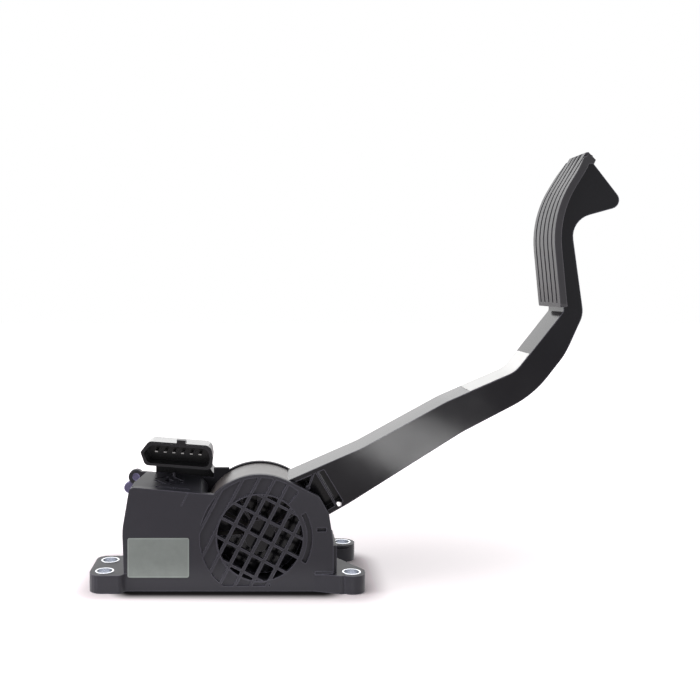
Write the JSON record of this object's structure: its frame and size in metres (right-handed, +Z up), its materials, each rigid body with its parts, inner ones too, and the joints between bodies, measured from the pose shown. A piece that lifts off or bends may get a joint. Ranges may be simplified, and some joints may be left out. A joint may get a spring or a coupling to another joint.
{
  "type": "electronic accelerator pedal",
  "caption": "Floor-standing accelerator pedal: dark moulded housing with round side grille, curved ribbed arm on a drum, tread pad, sensor and multi-pin connector inlet.",
  "frame": {"origin": "on the base's underside, straight below the pivot and midway between the two side walls", "axes": "+X towards the tread pad, +Y away from the grille side, +Z up"},
  "size_m": [0.2969, 0.0732, 0.2446],
  "materials": {
    "black_nylon": "satin",
    "connector_black": "satin",
    "pad_plastic": "satin",
    "steel": "brushed",
    "spring_steel": "oiled",
    "bronze": "plain",
    "stop_rubber": "matt",
    "shoe_plastic": "matt",
    "carrier_plastic": "matt",
    "board": "lacquered",
    "contact": "plain",
    "terminal_tin": "tinned",
    "plug_grey": "satin",
    "foil_label": "foil",
    "paper_label": "paper"
  },
  "bodies": {
    "housing": {"housing": "black_nylon", "side_cover": "black_nylon", "near_bearing": "bronze", "far_bearing": "bronze", "outer_return_spring": "spring_steel", "inner_return_spring": "spring_steel", "friction_shoe": "shoe_plastic", "friction_spring": "spring_steel", "connector_housing": "connector_black", "sensor_lid": "connector_black", "circuit_board": "board", "idle_stop": "stop_rubber", "full_travel_stop": "stop_rubber", "rear_plug": "plug_grey", "housing_label": "foil_label", "terminal_1": "terminal_tin", "terminal_2": "terminal_tin", "terminal_3": "terminal_tin", "terminal_4": "terminal_tin", "terminal_5": "terminal_tin", "terminal_6": "terminal_tin", "mount_bush_1": "steel", "mount_bush_2": "steel", "mount_bush_3": "steel", "mount_bush_4": "steel", "cover_screw_1": "steel", "cover_screw_2": "steel", "cover_screw_3": "steel", "cover_screw_4": "steel", "sensor_screw_1": "steel", "sensor_screw_2": "steel", "sensor_screw_3": "steel"},
    "pedal": {"pedal_arm": "black_nylon", "pedal_pad": "pad_plastic", "arm_label": "paper_label", "pivot_shaft": "steel", "wiper_carrier": "carrier_plastic", "wiper_contacts": "contact", "shaft_clip": "spring_steel"}
  },
  "joints": [
    {"name": "pedal_hinge", "type": "hinge", "parent": "housing", "child": "pedal", "pos_m": [0, 0, 0.0296], "axis": [0, 1, 0], "range_deg": [0, 20], "stiffness_Nm_per_rad": 6, "springref_deg": -28.65, "deforming": ["outer_return_spring", "inner_return_spring"]}
  ]
}
